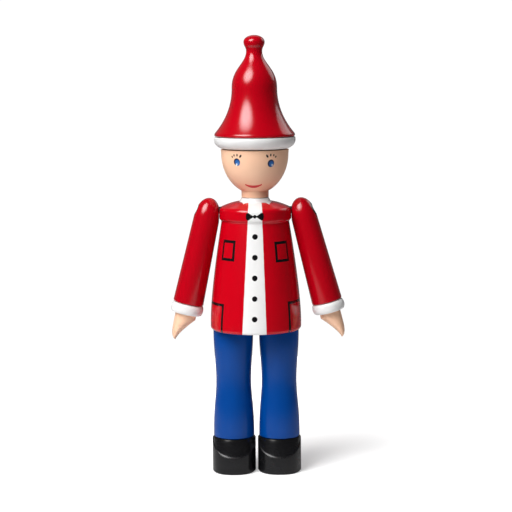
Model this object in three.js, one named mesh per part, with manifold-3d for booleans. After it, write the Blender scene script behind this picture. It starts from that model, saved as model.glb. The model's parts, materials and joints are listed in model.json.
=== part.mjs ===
// A standing wooden Christmas figure: turned and doweled from painted beech, with arms that
// swing on shoulder screws and a head that turns on its neck tenon.
// Millimetres, +Z up. The figure faces -Y and its own left hand is at +X.
// The origin is on the ground, midway between the legs.
import * as THREE from 'three';
import { mergeVertices } from 'three/addons/utils/BufferGeometryUtils.js';
import Module from 'manifold-3d';

// Fits and facets
const GLUE_GAP = 0.3;
const SOCKET_END_GAP = 0.5;
const LARGE_SIDES = 32;
const LIMB_SIDES = 24;
const SMALL_SIDES = 16;
const FORM_STEPS = 8;
const EDGE_STEPS = 4;
const WELD_DISTANCE = 1e-4;

// Shoes: an oval block, cut on a slant in front so that a vamp rises to the round ankle
const SHOE_HEIGHT = 16;
const SHOE_HALF_WIDTH = 10;
const SHOE_GAP = 1;
const TOE_REACH = 11.6;
const HEEL_REACH = 9.6;
const TOE_WALL = 8;
const WELT_SLOPE = 0.69;
const ANKLE_EDGE = 0.4;
const SOLE_EDGE = 0.4;
const SOLE_SQUARENESS = 2.3;
// Shares of the way in from the welt to the ankle, and up from the one to the other
const VAMP_STEPS = [[0, 0], [0.3, 0.1], [0.55, 0.45], [0.78, 0.8], [1, 1]];

// Legs: slim in the middle like an hourglass
const LEG_LENGTH = 50;
const LEG_FOOT_RADIUS = 9.4;
const LEG_WAIST_RADIUS = 8.1;
const LEG_WAIST_HEIGHT = 26.5;
const LEG_HIP_RADIUS = 9.15;
const LEG_EDGE = 0.5;
const CALF_HOLD = 0.55;
const KNEE_HOLD = 0.33;
const THIGH_HOLD = 0.4;
const LEG_DOWEL_RADIUS = 2.5;
const HIP_DOWEL_LENGTH = 18;
const ANKLE_DOWEL_LENGTH = 16;
const DOWEL_CHAMFER = 0.6;

// Coat: a flared bell under a straight shoulder yoke
const COAT_LENGTH = 60.3;
const HEM_RADIUS = 20.8;
const HEM_ROUND_WIDTH = 0.9;
const HEM_ROUND_HEIGHT = 1.5;
const HEM_STRAIGHT = 3.4;
const FLARE_HOLD = 0.28;
const YOKE_RADIUS = 16.5;
const YOKE_TOP_DROP = 4.6;
const YOKE_BAND = 4.8;
const YOKE_EDGE = 0.8;
const SHOULDER_EDGE = 1.3;
const SHOULDER_CURVE = 0.3;
const GROOVE_DEPTH = 0.75;
const GROOVE_DROP = 2;
const COLLAR_RADIUS = 7.2;
const COLLAR_RISE = 1.7;

// Head: a jaw of elliptical section over a round neck
const NECK_RADIUS = 6.2;
const NECK_LENGTH = 2.9;
const NECK_TENON_RADIUS = 4;
const NECK_TENON_LENGTH = 10;
const JAW_RADIUS = 15.3;
const JAW_HEIGHT = 18.6;
const TEMPLE_HEIGHT = 1.76;
const TEMPLE_RADIUS = 15.5;

// Hat: a white rolled brim under a red bell with a knob
const BRIM_HEIGHT = 5.4;
const BRIM_RADIUS = 18.6;
const BRIM_TOP_RADIUS = 18.2;
const BRIM_FOOT_RADIUS = 15.8;
const BRIM_WIDEST_HEIGHT = 3.4;
const HAT_BASE_RADIUS = 18.35;
const HAT_EDGE_RADIUS = 1.25;
const HAT_EDGE_HEIGHT = 0.82;
const HAT_FLARE_ANGLE = 40;
const HAT_WAIST_RADIUS = 10.3;
const HAT_WAIST_HEIGHT = 21.85;
const HAT_NECK_RADIUS = 3.65;
const HAT_NECK_HEIGHT = 38.3;
const HAT_BELL_HOLD = 0.53;
const HAT_NECK_HOLD = 0.33;
const KNOB_RADIUS = 4.8;
const KNOB_RISE = 4.15;
const KNOB_CROWN = 3.1;
const KNOB_HOLD = 0.47;
const HAT_DOWEL_RADIUS = 3;
const HAT_DOWEL_BITE = 8;

// Arms: tapered sleeves that hang off the shoulders and splay outwards past the hem
const SHOULDER_DROP = 5.4;
const SLEEVE_LENGTH = 44;
const SLEEVE_TOP_RADIUS = 5.9;
const SLEEVE_CUFF_RADIUS = 7;
const SLEEVE_DOME = 9.3;
const SLEEVE_DOME_BELOW = 3.9;
const SLEEVE_EDGE = 0.4;
const SHOULDER_FLAT = 0.6;
const LEFT_ARM_CLEARANCE = 5.3;
const RIGHT_ARM_CLEARANCE = 3.5;

// Cuffs and hands
const CUFF_LENGTH = 4.6;
const CUFF_PROUD = 0.5;
const HAND_LENGTH = 12.5;
const WRIST_RADIUS = 4.85;
const FINGERTIP_OFFSET = 2.2;
const FINGERTIP_HALF_DEPTH = 1.6;
const HEEL_OF_HAND = 2.1;
const BACK_OF_HAND_SQUARENESS = 5;
const PALM_SWEEP = 1.35;
const HAND_DEPTH_SQUARENESS = 2.5;
const FINGERTIP_FLAT = 0.015;
const HAND_RINGS = 9;
const HAND_TENON_RADIUS = 2.5;
const HAND_TENON_BITE = 9;

// Shoulder screws and washers
const SCREW_RADIUS = 1.3;
const SCREW_BITE = 7;
const SCREW_HEAD_RADIUS = 1.95;
const SCREW_HEAD_HEIGHT = 1.7;
const SCREW_HEAD_CHAMFER = 0.6;
const SCREW_SLOT_WIDTH = 0.5;
const SCREW_SLOT_DEPTH = 0.7;
const SCREW_SEAT = 2.5;
const WASHER_RADIUS = 2.4;
const WASHER_THICKNESS = 0.6;
const WASHER_RECESS = 1.1;

// Heights of the stack, from the ground up
const LEG_BASE = SHOE_HEIGHT + GLUE_GAP;
const COAT_BASE = LEG_BASE + LEG_LENGTH + GLUE_GAP;
const COAT_TOP = COAT_BASE + COAT_LENGTH;
const NECK_BASE = COAT_TOP + GLUE_GAP;
const JAW_TOP = NECK_BASE + NECK_LENGTH + JAW_HEIGHT * Math.sqrt(1 - (NECK_RADIUS / JAW_RADIUS) ** 2);
const HEAD_TOP = JAW_TOP + TEMPLE_HEIGHT;
const BRIM_BASE = HEAD_TOP + GLUE_GAP;
const HAT_BASE = BRIM_BASE + BRIM_HEIGHT + GLUE_GAP;

// Sideways places: the legs stand clear of each other, and the sleeves clear of yoke and hem
const LEG_OFFSET = Math.max(SHOE_HALF_WIDTH, LEG_FOOT_RADIUS, LEG_HIP_RADIUS) + SHOE_GAP / 2;
const WASHER_SEAT_X = YOKE_RADIUS - WASHER_RECESS;
const SHOULDER_FLAT_X = WASHER_SEAT_X + WASHER_THICKNESS + 2 * GLUE_GAP;
const SHOULDER_X = SHOULDER_FLAT_X + sleeveDomeRadius(0) - SHOULDER_FLAT;
const SHOULDER_Z = COAT_TOP - SHOULDER_DROP;
const CUFF_RADIUS = SLEEVE_CUFF_RADIUS + CUFF_PROUD;
const CUFF_START = SLEEVE_LENGTH + GLUE_GAP;
const HAND_START = CUFF_START + CUFF_LENGTH + GLUE_GAP;

// Painted and plain finishes
const RED = { color: 0xd8061c, roughness: 0.28, metalness: 0 };
const WHITE = { color: 0xf2f1ee, roughness: 0.35, metalness: 0 };
const SKIN = { color: 0xebbd9d, roughness: 0.45, metalness: 0 };
const BLUE = { color: 0x14469f, roughness: 0.35, metalness: 0 };
const BLACK = { color: 0x1c1c1e, roughness: 0.25, metalness: 0 };
const BARE_BEECH = { color: 0xd9b58a, roughness: 0.7, metalness: 0 };
const DARK_STEEL = { color: 0x222326, roughness: 0.4, metalness: 0.8 };
const DARK_FIBRE = { color: 0x17171a, roughness: 0.75, metalness: 0 };

const wasm = await Module();
wasm.setup();

const figure = new THREE.Group();

function point(radius, height) {
  return new THREE.Vector2(radius, height);
}

// Points on an elliptical stretch of a profile, from one angle to another
function ellipticArc(centre, radiusAcross, radiusUp, fromAngle, toAngle, steps) {
  const curve = new THREE.EllipseCurve(
    centre.x, centre.y, radiusAcross, radiusUp, fromAngle, toAngle, toAngle < fromAngle);
  return curve.getPoints(steps);
}

// Points on a stretch of a profile that leaves one radius and reaches the next straight along the
// axis. Each hold is the share of the stretch for which that end keeps its radius.
function easedStretch(from, to, fromHold, toHold, steps) {
  const rise = to.y - from.y;
  const curve = new THREE.CubicBezierCurve(
    from, point(from.x, from.y + rise * fromHold), point(to.x, to.y - rise * toHold), to);
  return curve.getPoints(steps);
}

// A turning about the Z axis. The profile runs from the foot of the piece to its top.
function turned(profile, sides) {
  const geometry = new THREE.LatheGeometry(profile, sides);
  return geometry.rotateX(Math.PI / 2);
}

// A closed skin over rings of equal count, each running the same way round, foot first
function lofted(rings) {
  const sides = rings[0].length;
  const corners = rings.flat();
  const index = [];
  for (let ring = 0; ring < rings.length - 1; ring += 1) {
    for (let side = 0; side < sides; side += 1) {
      const here = ring * sides + side;
      const next = ring * sides + (side + 1) % sides;
      index.push(here, next, next + sides);
      index.push(here, next + sides, here + sides);
    }
  }
  const lastRing = (rings.length - 1) * sides;
  const footCentre = corners.length;
  corners.push(middleOf(rings[0]));
  const topCentre = corners.length;
  corners.push(middleOf(rings[rings.length - 1]));
  for (let side = 0; side < sides; side += 1) {
    const next = (side + 1) % sides;
    index.push(footCentre, next, side);
    index.push(topCentre, lastRing + side, lastRing + next);
  }
  const geometry = new THREE.BufferGeometry().setFromPoints(corners);
  geometry.setIndex(index);
  geometry.computeVertexNormals();
  return geometry;
}

function middleOf(ring) {
  const sum = ring.reduce((total, corner) => total.add(corner), new THREE.Vector3());
  return sum.divideScalar(ring.length);
}

// One ring of a loft: the place of each corner comes from its angle round +Z
function ringOf(sides, placeAt) {
  return Array.from({ length: sides }, (_, side) => placeAt((side / sides) * Math.PI * 2));
}

// The place of a loft's corner on a level circle
function circle(radius, height) {
  return (angle) => new THREE.Vector3(Math.cos(angle) * radius, Math.sin(angle) * radius, height);
}

// A straight pin or drill along +X, from one end to the other
function pinAlongX(radius, fromX, toX, sides) {
  const geometry = new THREE.CylinderGeometry(radius, radius, toX - fromX, sides);
  return geometry.rotateZ(Math.PI / 2).translate((fromX + toX) / 2, 0, 0);
}

function solidOf(geometry) {
  const bare = geometry.clone();
  bare.deleteAttribute('normal');
  bare.deleteAttribute('uv');
  const welded = mergeVertices(bare, WELD_DISTANCE);
  const corners = welded.index.array;
  const triVerts = [];
  for (let i = 0; i < corners.length; i += 3) {
    const [a, b, c] = corners.slice(i, i + 3);
    if (a !== b && b !== c && c !== a) triVerts.push(a, b, c);
  }
  const mesh = new wasm.Mesh({
    numProp: 3,
    vertProperties: new Float32Array(welded.getAttribute('position').array),
    triVerts: new Uint32Array(triVerts),
  });
  return new wasm.Manifold(mesh);
}

// The geometry left when drills and planes are cut away from a blank
function cutAway(blank, tools) {
  const solid = tools.reduce((left, tool) => left.subtract(solidOf(tool)), solidOf(blank));
  const { vertProperties, triVerts } = solid.getMesh();
  const geometry = new THREE.BufferGeometry();
  geometry.setAttribute('position', new THREE.BufferAttribute(vertProperties, 3));
  geometry.setIndex(new THREE.BufferAttribute(triVerts, 1));
  geometry.computeVertexNormals();
  return geometry;
}

function addPiece(parent, name, geometry, finish, x = 0, z = 0) {
  const mesh = new THREE.Mesh(geometry, new THREE.MeshStandardMaterial(finish));
  mesh.name = name;
  mesh.position.set(x, 0, z);
  parent.add(mesh);
}

// A chamfered dowel standing on z = 0
function dowel(radius, length) {
  return turned([
    point(0, 0),
    point(radius - DOWEL_CHAMFER, 0),
    point(radius, DOWEL_CHAMFER),
    point(radius, length - DOWEL_CHAMFER),
    point(radius - DOWEL_CHAMFER, length),
    point(0, length),
  ], SMALL_SIDES);
}

// Shoe, standing on z = 0 with its ankle socket open at the top
function shoe() {
  const squared = (ratio) => Math.sign(ratio) * Math.abs(ratio) ** (2 / SOLE_SQUARENESS);
  const plan = (angle, inset) => {
    const reach = Math.sin(angle) < 0 ? TOE_REACH : HEEL_REACH;
    return new THREE.Vector2(
      squared(Math.cos(angle)) * (SHOE_HALF_WIDTH - inset),
      squared(Math.sin(angle)) * (reach - inset));
  };
  const weltHeight = (y) => Math.min(
    TOE_WALL + (y + TOE_REACH) * WELT_SLOPE, SHOE_HEIGHT - ANKLE_EDGE);
  const sole = (inset, height) => (angle) => {
    const edge = plan(angle, inset);
    return new THREE.Vector3(edge.x, edge.y, height);
  };
  // A ring on the upper: part of the way in from the welt to the ankle, part of the way up
  const upper = (inwards, upwards) => (angle) => {
    const welt = plan(angle, 0);
    const weltCorner = new THREE.Vector3(welt.x, welt.y, weltHeight(welt.y));
    const ankleCorner = circle(LEG_FOOT_RADIUS, SHOE_HEIGHT)(angle);
    return new THREE.Vector3(
      THREE.MathUtils.lerp(weltCorner.x, ankleCorner.x, inwards),
      THREE.MathUtils.lerp(weltCorner.y, ankleCorner.y, inwards),
      THREE.MathUtils.lerp(weltCorner.z, ankleCorner.z, upwards));
  };
  const socketRadius = LEG_DOWEL_RADIUS + GLUE_GAP;
  const socketFloor = SHOE_HEIGHT - ANKLE_DOWEL_LENGTH / 2 - SOCKET_END_GAP;
  const places = [
    sole(SOLE_EDGE, 0),
    sole(0, SOLE_EDGE),
    ...VAMP_STEPS.map(([inwards, upwards]) => upper(inwards, upwards)),
    circle(socketRadius, SHOE_HEIGHT),
    circle(socketRadius, socketFloor),
  ];
  return lofted(places.map((placeAt) => ringOf(LIMB_SIDES, placeAt)));
}

// Leg, standing on z = 0 with a dowel socket in each end
function leg() {
  const socketRadius = LEG_DOWEL_RADIUS + GLUE_GAP;
  const footDepth = ANKLE_DOWEL_LENGTH / 2 + SOCKET_END_GAP;
  const hipDepth = HIP_DOWEL_LENGTH / 2 + SOCKET_END_GAP;
  const foot = point(LEG_FOOT_RADIUS, LEG_EDGE);
  const waist = point(LEG_WAIST_RADIUS, LEG_WAIST_HEIGHT);
  const hip = point(LEG_HIP_RADIUS, LEG_LENGTH - LEG_EDGE);
  return turned([
    point(0, footDepth),
    point(socketRadius, footDepth),
    point(socketRadius, 0),
    point(LEG_FOOT_RADIUS - LEG_EDGE, 0),
    ...easedStretch(foot, waist, CALF_HOLD, KNEE_HOLD, FORM_STEPS),
    ...easedStretch(waist, hip, KNEE_HOLD, THIGH_HOLD, FORM_STEPS).slice(1),
    point(LEG_HIP_RADIUS - LEG_EDGE, LEG_LENGTH),
    point(socketRadius, LEG_LENGTH),
    point(socketRadius, LEG_LENGTH - hipDepth),
    point(0, LEG_LENGTH - hipDepth),
  ], LIMB_SIDES);
}

// Coat, standing on z = 0: bored for the neck, both hips and both shoulder screws
function coat() {
  const neckSocket = NECK_TENON_RADIUS + GLUE_GAP;
  const neckFloor = COAT_LENGTH - NECK_TENON_LENGTH - SOCKET_END_GAP;
  const yokeTop = COAT_LENGTH - YOKE_TOP_DROP;
  const yokeFoot = yokeTop - YOKE_BAND;
  const grooveRadius = YOKE_RADIUS - GROOVE_DEPTH;
  const grooveHeight = yokeFoot - GROOVE_DROP;
  const hem = ellipticArc(
    point(HEM_RADIUS - HEM_ROUND_WIDTH, HEM_ROUND_HEIGHT), HEM_ROUND_WIDTH, HEM_ROUND_HEIGHT,
    -Math.PI / 2, 0, EDGE_STEPS);
  const flare = new THREE.QuadraticBezierCurve(
    point(HEM_RADIUS, HEM_STRAIGHT),
    point(HEM_RADIUS, THREE.MathUtils.lerp(HEM_STRAIGHT, grooveHeight, FLARE_HOLD)),
    point(grooveRadius, grooveHeight));
  const collarHeight = COAT_LENGTH - COLLAR_RISE;
  const shoulder = new THREE.QuadraticBezierCurve(
    point(YOKE_RADIUS - SHOULDER_EDGE, yokeTop + SHOULDER_EDGE / 2),
    point(THREE.MathUtils.lerp(COLLAR_RADIUS, YOKE_RADIUS, SHOULDER_CURVE), collarHeight),
    point(COLLAR_RADIUS, collarHeight));
  const blank = turned([
    point(0, 0),
    ...hem,
    ...flare.getPoints(FORM_STEPS),
    point(YOKE_RADIUS - YOKE_EDGE / 2, yokeFoot - YOKE_EDGE / 2),
    point(YOKE_RADIUS, yokeFoot + YOKE_EDGE / 2),
    point(YOKE_RADIUS, yokeTop - SHOULDER_EDGE),
    point(YOKE_RADIUS - SHOULDER_EDGE / 4, yokeTop - SHOULDER_EDGE / 4),
    ...shoulder.getPoints(EDGE_STEPS),
    point(NECK_RADIUS, COAT_LENGTH),
    point(neckSocket, COAT_LENGTH),
    point(neckSocket, neckFloor),
    point(0, neckFloor),
  ], LARGE_SIDES);

  const hipRadius = LEG_DOWEL_RADIUS + GLUE_GAP;
  const hipDepth = HIP_DOWEL_LENGTH / 2 + SOCKET_END_GAP;
  const tools = [];
  for (const side of [-1, 1]) {
    const hipDrill = new THREE.CylinderGeometry(hipRadius, hipRadius, hipDepth * 2, SMALL_SIDES);
    tools.push(hipDrill.rotateX(Math.PI / 2).translate(side * LEG_OFFSET, 0, 0));
    const spotFace = pinAlongX(WASHER_RADIUS + GLUE_GAP, WASHER_SEAT_X, YOKE_RADIUS * 2, SMALL_SIDES);
    const screwTip = WASHER_SEAT_X - SCREW_BITE - SOCKET_END_GAP;
    const pilot = pinAlongX(SCREW_RADIUS + GLUE_GAP, screwTip, YOKE_RADIUS * 2, SMALL_SIDES);
    for (const drill of [spotFace, pilot]) {
      if (side < 0) drill.rotateZ(Math.PI);
      tools.push(drill.translate(0, 0, COAT_LENGTH - SHOULDER_DROP));
    }
  }
  return cutAway(blank, tools);
}

// Head with its neck tenon, the neck's shoulder on z = 0 and a hat-dowel socket in the crown
function head() {
  const jawHeight = JAW_TOP - NECK_BASE;
  const chinAngle = -Math.acos(NECK_RADIUS / JAW_RADIUS);
  const jaw = ellipticArc(point(0, jawHeight), JAW_RADIUS, JAW_HEIGHT, chinAngle, 0, FORM_STEPS);
  const crown = jawHeight + TEMPLE_HEIGHT;
  const socketRadius = HAT_DOWEL_RADIUS + GLUE_GAP;
  const socketFloor = crown - HAT_DOWEL_BITE - SOCKET_END_GAP;
  return turned([
    point(0, -NECK_TENON_LENGTH),
    point(NECK_TENON_RADIUS - DOWEL_CHAMFER, -NECK_TENON_LENGTH),
    point(NECK_TENON_RADIUS, DOWEL_CHAMFER - NECK_TENON_LENGTH),
    point(NECK_TENON_RADIUS, 0),
    point(NECK_RADIUS, 0),
    ...jaw,
    point(TEMPLE_RADIUS, crown),
    point(socketRadius, crown),
    point(socketRadius, socketFloor),
    point(0, socketFloor),
  ], LARGE_SIDES);
}

// Brim ring, standing on z = 0 and bored for the hat dowel
function hatBrim() {
  const bore = HAT_DOWEL_RADIUS + GLUE_GAP;
  const roll = ellipticArc(
    point(BRIM_FOOT_RADIUS, BRIM_WIDEST_HEIGHT), BRIM_RADIUS - BRIM_FOOT_RADIUS, BRIM_WIDEST_HEIGHT,
    -Math.PI / 2, 0, FORM_STEPS);
  const lip = new THREE.QuadraticBezierCurve(
    point(BRIM_RADIUS, BRIM_WIDEST_HEIGHT),
    point(BRIM_RADIUS, BRIM_HEIGHT),
    point(BRIM_TOP_RADIUS, BRIM_HEIGHT));
  return turned([
    point(bore, 0),
    ...roll,
    ...lip.getPoints(EDGE_STEPS).slice(1),
    point(bore, BRIM_HEIGHT),
    point(bore, 0),
  ], LARGE_SIDES);
}

// Hat bell, standing on z = 0 with a blind dowel socket in its foot
function hatCrown() {
  const socketRadius = HAT_DOWEL_RADIUS + GLUE_GAP;
  const socketTop = HAT_DOWEL_BITE + SOCKET_END_GAP;
  const edgeCentre = point(HAT_BASE_RADIUS - HAT_EDGE_RADIUS, HAT_EDGE_HEIGHT);
  const flareAngle = THREE.MathUtils.degToRad(HAT_FLARE_ANGLE);
  const edge = [
    ...ellipticArc(edgeCentre, HAT_EDGE_RADIUS, HAT_EDGE_HEIGHT, -Math.PI / 2, 0, EDGE_STEPS),
    ...ellipticArc(edgeCentre, HAT_EDGE_RADIUS, HAT_EDGE_RADIUS, 0, flareAngle, EDGE_STEPS).slice(1),
  ];
  const flareStart = edge[edge.length - 1];
  const flareRise = (flareStart.x - HAT_WAIST_RADIUS) / Math.tan(flareAngle);
  const flare = new THREE.QuadraticBezierCurve(
    flareStart,
    point(HAT_WAIST_RADIUS, flareStart.y + flareRise),
    point(HAT_WAIST_RADIUS, HAT_WAIST_HEIGHT));
  const waist = point(HAT_WAIST_RADIUS, HAT_WAIST_HEIGHT);
  const neck = point(HAT_NECK_RADIUS, HAT_NECK_HEIGHT);
  const knobHeight = HAT_NECK_HEIGHT + KNOB_RISE;
  const knob = point(KNOB_RADIUS, knobHeight);
  const knobTop = ellipticArc(
    point(0, knobHeight), KNOB_RADIUS, KNOB_CROWN, 0, Math.PI / 2, EDGE_STEPS);
  return turned([
    point(0, socketTop),
    point(socketRadius, socketTop),
    point(socketRadius, 0),
    ...edge,
    ...flare.getPoints(FORM_STEPS).slice(1),
    ...easedStretch(waist, neck, HAT_BELL_HOLD, HAT_NECK_HOLD, FORM_STEPS).slice(1),
    ...easedStretch(neck, knob, KNOB_HOLD, KNOB_HOLD, EDGE_STEPS).slice(1),
    ...knobTop.slice(1, -1),
    point(0, knobHeight + KNOB_CROWN),
  ], LARGE_SIDES);
}

// Radius of the rounded top of a sleeve at a height above the shoulder pivot
function sleeveDomeRadius(height) {
  const climb = (height + SLEEVE_DOME_BELOW) / SLEEVE_DOME;
  return SLEEVE_TOP_RADIUS * Math.sqrt(1 - climb ** 2);
}

// How far an arm leans out, in radians, so that its cuff clears the hem
function armSplay(clearance) {
  const cuffMiddle = CUFF_START + CUFF_LENGTH / 2;
  const reachOut = HEM_RADIUS + clearance - SHOULDER_X;
  const toCuffEdge = Math.hypot(cuffMiddle, CUFF_RADIUS);
  return Math.atan2(CUFF_RADIUS, cuffMiddle) + Math.asin(reachOut / toCuffEdge);
}

// Sleeve hanging from the pivot at its own origin, with the screw bore lying along the true X axis
function sleeve(side, splay) {
  const socketRadius = HAND_TENON_RADIUS + GLUE_GAP;
  const socketTop = HAND_TENON_BITE + SOCKET_END_GAP - SLEEVE_LENGTH;
  const dome = ellipticArc(
    point(0, -SLEEVE_DOME_BELOW), SLEEVE_TOP_RADIUS, SLEEVE_DOME, 0, Math.PI / 2, FORM_STEPS);
  const blank = turned([
    point(0, socketTop),
    point(socketRadius, socketTop),
    point(socketRadius, -SLEEVE_LENGTH),
    point(SLEEVE_CUFF_RADIUS - SLEEVE_EDGE, -SLEEVE_LENGTH),
    point(SLEEVE_CUFF_RADIUS, SLEEVE_EDGE - SLEEVE_LENGTH),
    ...dome.slice(0, -1),
    point(0, SLEEVE_DOME - SLEEVE_DOME_BELOW),
  ], LIMB_SIDES);

  const beyond = SHOULDER_X;
  const flatDepth = SLEEVE_TOP_RADIUS * 2;
  const flatFace = SHOULDER_FLAT_X - SHOULDER_X;
  const flat = new THREE.BoxGeometry(flatDepth, SLEEVE_LENGTH, SLEEVE_DOME * 2);
  const tools = [
    flat.translate(flatFace - flatDepth / 2, 0, 0),
    pinAlongX(SCREW_RADIUS + GLUE_GAP, -beyond, beyond, SMALL_SIDES),
    pinAlongX(SCREW_HEAD_RADIUS + GLUE_GAP, SCREW_SEAT, beyond, SMALL_SIDES),
  ];
  for (const tool of tools) {
    if (side < 0) tool.rotateZ(Math.PI);
    tool.rotateY(side * splay);
  }
  return cutAway(blank, tools);
}

// Cuff ring, hanging below z = 0 and bored for the hand's tenon
function cuff() {
  const bore = HAND_TENON_RADIUS + GLUE_GAP;
  const roll = ellipticArc(
    point(SLEEVE_CUFF_RADIUS - CUFF_PROUD, -CUFF_LENGTH / 2), CUFF_PROUD * 2, CUFF_LENGTH / 2,
    -Math.PI / 2, Math.PI / 2, FORM_STEPS);
  return turned([
    point(bore, -CUFF_LENGTH),
    ...roll,
    point(bore, 0),
    point(bore, -CUFF_LENGTH),
  ], LIMB_SIDES);
}

// Carved hand, hanging below z = 0 with its tenon above. The back of the hand stays straight, and
// the palm is swept in from the heel of the hand to the fingertip.
function hand(side) {
  const backEdge = (share) => FINGERTIP_OFFSET
    + (WRIST_RADIUS - FINGERTIP_OFFSET) * Math.sqrt(1 - share ** BACK_OF_HAND_SQUARENESS);
  const palmStart = HEEL_OF_HAND / HAND_LENGTH;
  const palmEdge = (share) => {
    const sweep = Math.max(0, (share - palmStart) / (1 - palmStart));
    return (FINGERTIP_OFFSET + WRIST_RADIUS) * (1 - (1 - sweep) ** PALM_SWEEP) - WRIST_RADIUS;
  };
  const halfDepth = (share) => FINGERTIP_HALF_DEPTH
    + (WRIST_RADIUS - FINGERTIP_HALF_DEPTH) * Math.sqrt(1 - share ** HAND_DEPTH_SQUARENESS);
  const section = (share) => (angle) => {
    const middle = (backEdge(share) + palmEdge(share)) / 2;
    const halfWidth = (backEdge(share) - palmEdge(share)) / 2;
    return new THREE.Vector3(
      side * middle + Math.cos(angle) * halfWidth,
      Math.sin(angle) * halfDepth(share),
      -share * HAND_LENGTH);
  };
  const tenonTop = CUFF_LENGTH + 2 * GLUE_GAP + HAND_TENON_BITE;
  // Sections crowd together towards the fingertip, where the form turns fastest
  const sections = Array.from({ length: HAND_RINGS + 1 }, (_, ring) => section(
    (1 - FINGERTIP_FLAT) * Math.cos((ring / HAND_RINGS) * Math.PI / 2)));
  const places = [
    ...sections,
    circle(HAND_TENON_RADIUS, 0),
    circle(HAND_TENON_RADIUS, tenonTop),
  ];
  return lofted(places.map((placeAt) => ringOf(SMALL_SIDES, placeAt)));
}

// Slotted shoulder screw along +X, its head's underside at x = 0 and its tip at minus its length
function shoulderScrew(length) {
  const blank = turned([
    point(0, -length),
    point(SCREW_RADIUS / 2, -length),
    point(SCREW_RADIUS, -length + SCREW_RADIUS),
    point(SCREW_RADIUS, 0),
    point(SCREW_HEAD_RADIUS, 0),
    point(SCREW_HEAD_RADIUS, SCREW_HEAD_HEIGHT - SCREW_HEAD_CHAMFER),
    point(SCREW_HEAD_RADIUS - SCREW_HEAD_CHAMFER, SCREW_HEAD_HEIGHT),
    point(0, SCREW_HEAD_HEIGHT),
  ], SMALL_SIDES);
  const slot = new THREE.BoxGeometry(SCREW_SLOT_WIDTH, SCREW_HEAD_RADIUS * 3, SCREW_SLOT_DEPTH * 2);
  return cutAway(blank, [slot.translate(0, 0, SCREW_HEAD_HEIGHT)]).rotateY(Math.PI / 2);
}

// Shoulder washer along +X, its inner face on x = 0
function shoulderWasher() {
  const bore = SCREW_RADIUS + GLUE_GAP;
  return turned([
    point(bore, 0),
    point(WASHER_RADIUS, 0),
    point(WASHER_RADIUS, WASHER_THICKNESS),
    point(bore, WASHER_THICKNESS),
    point(bore, 0),
  ], SMALL_SIDES).rotateY(Math.PI / 2);
}

// Legs and shoes on their dowels
for (const [sideName, side] of [['left', 1], ['right', -1]]) {
  const x = side * LEG_OFFSET;
  const ankleDowelFoot = LEG_BASE - GLUE_GAP / 2 - ANKLE_DOWEL_LENGTH / 2;
  const hipDowelFoot = COAT_BASE - GLUE_GAP / 2 - HIP_DOWEL_LENGTH / 2;
  addPiece(figure, `${sideName}_shoe`, shoe(), BLACK, x, 0);
  addPiece(figure, `${sideName}_ankle_dowel`, dowel(LEG_DOWEL_RADIUS, ANKLE_DOWEL_LENGTH), BARE_BEECH,
    x, ankleDowelFoot);
  addPiece(figure, `${sideName}_leg`, leg(), BLUE, x, LEG_BASE);
  addPiece(figure, `${sideName}_hip_dowel`, dowel(LEG_DOWEL_RADIUS, HIP_DOWEL_LENGTH), BARE_BEECH,
    x, hipDowelFoot);
}

// Trunk, head and hat
const hatDowelLength = BRIM_HEIGHT + 2 * GLUE_GAP + 2 * HAT_DOWEL_BITE;
addPiece(figure, 'coat', coat(), RED, 0, COAT_BASE);
addPiece(figure, 'head', head(), SKIN, 0, NECK_BASE);
addPiece(figure, 'hat_dowel', dowel(HAT_DOWEL_RADIUS, hatDowelLength), BARE_BEECH,
  0, HEAD_TOP - HAT_DOWEL_BITE);
addPiece(figure, 'hat_brim', hatBrim(), WHITE, 0, BRIM_BASE);
addPiece(figure, 'hat_crown', hatCrown(), RED, 0, HAT_BASE);

// Arms: each hangs in its own leaning group, on a screw that stays level
for (const [sideName, side, clearance] of [
  ['left', 1, LEFT_ARM_CLEARANCE],
  ['right', -1, RIGHT_ARM_CLEARANCE],
]) {
  const splay = armSplay(clearance);
  const arm = new THREE.Group();
  arm.position.set(side * SHOULDER_X, 0, SHOULDER_Z);
  arm.rotation.y = -side * splay;
  addPiece(arm, `${sideName}_sleeve`, sleeve(side, splay), RED);
  addPiece(arm, `${sideName}_cuff`, cuff(), WHITE, 0, -CUFF_START);
  addPiece(arm, `${sideName}_hand`, hand(side), SKIN, 0, -HAND_START);
  figure.add(arm);

  const fixings = new THREE.Group();
  fixings.position.z = SHOULDER_Z;
  fixings.rotation.z = side < 0 ? Math.PI : 0;
  const screwHeadX = SHOULDER_X + SCREW_SEAT + GLUE_GAP;
  const screwLength = screwHeadX - WASHER_SEAT_X + SCREW_BITE;
  addPiece(fixings, `${sideName}_shoulder_screw`, shoulderScrew(screwLength), DARK_STEEL, screwHeadX);
  addPiece(fixings, `${sideName}_shoulder_washer`, shoulderWasher(), DARK_FIBRE, WASHER_SEAT_X + GLUE_GAP);
  figure.add(fixings);
}

export default figure;
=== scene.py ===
# A standing wooden Christmas figure, turned and doweled from beech and painted in enamel.
# Metres, +Z up. The figure faces -Y, and its own left hand is at +X.
import json
import math
from functools import reduce

import bmesh
import bpy
from mathutils import Matrix, Vector
from mathutils.geometry import interpolate_bezier


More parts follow.
